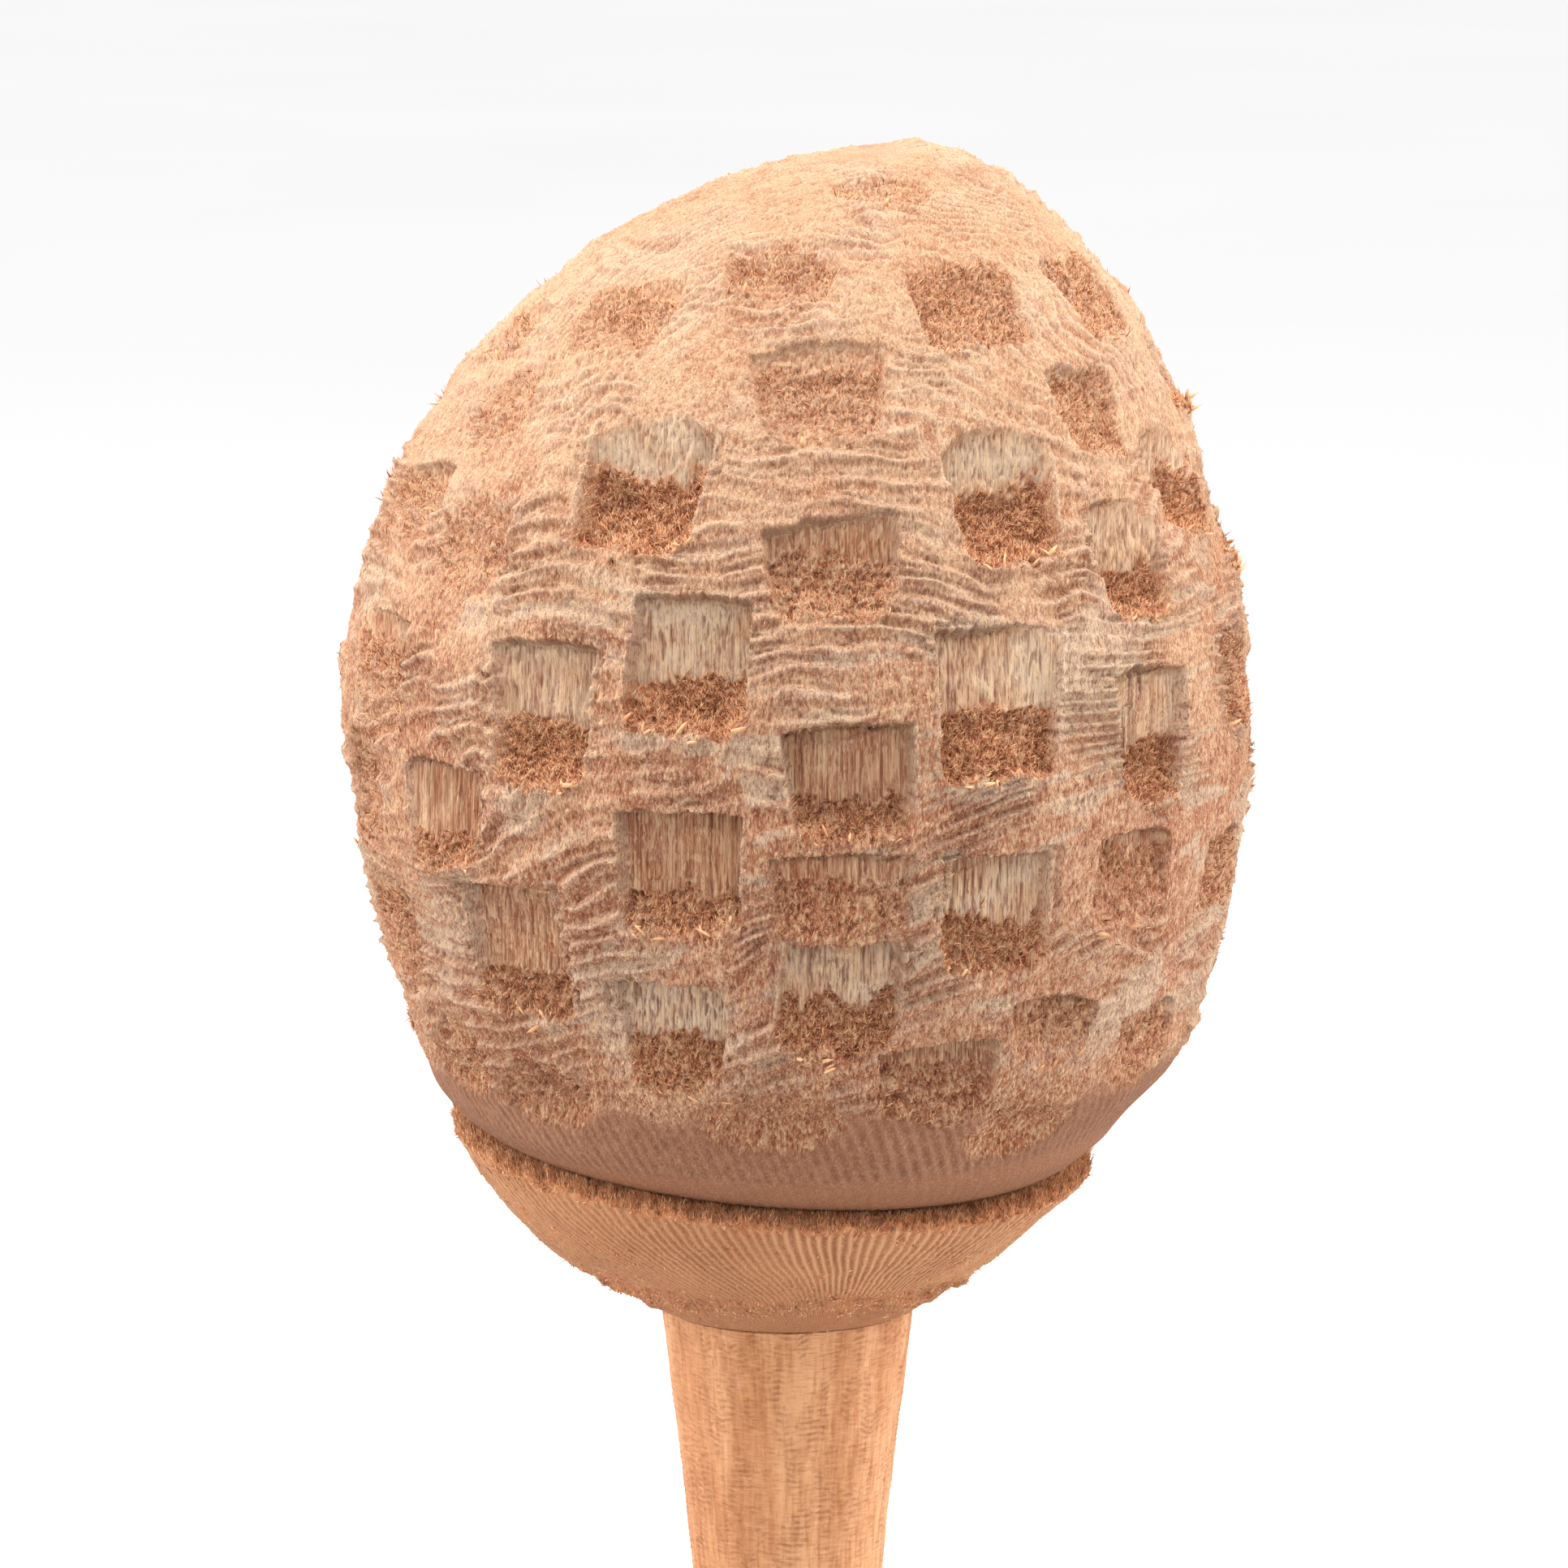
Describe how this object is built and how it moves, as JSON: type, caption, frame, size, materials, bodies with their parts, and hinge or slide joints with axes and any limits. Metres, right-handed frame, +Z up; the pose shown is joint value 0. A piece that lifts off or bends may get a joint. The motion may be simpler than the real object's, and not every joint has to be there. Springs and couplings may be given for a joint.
{
  "type": "wooden mallet",
  "caption": "Wooden mallet with an egg-shaped head chopped all over with small pits, a tilted groove above its collar, and a waisted round handle.",
  "frame": {"origin": "centre of the flat face at the handle's butt", "axes": "+Z up the handle to the head, -Y the front, +X to the right, the side that the crown leans to"},
  "size_m": [0.1197, 0.1199, 0.284],
  "materials": {
    "head_wood": "rough-carved, unfinished, with torn fibres",
    "collar_wood": "smooth-cut, unfinished",
    "handle_wood": "rasped, unfinished",
    "wedge_wood": "sawn"
  },
  "bodies": {
    "root": {"striking_head": "head_wood", "head_collar": "collar_wood", "handle": "handle_wood", "fox_wedge_left": "wedge_wood", "fox_wedge_right": "wedge_wood"}
  },
  "joints": []
}
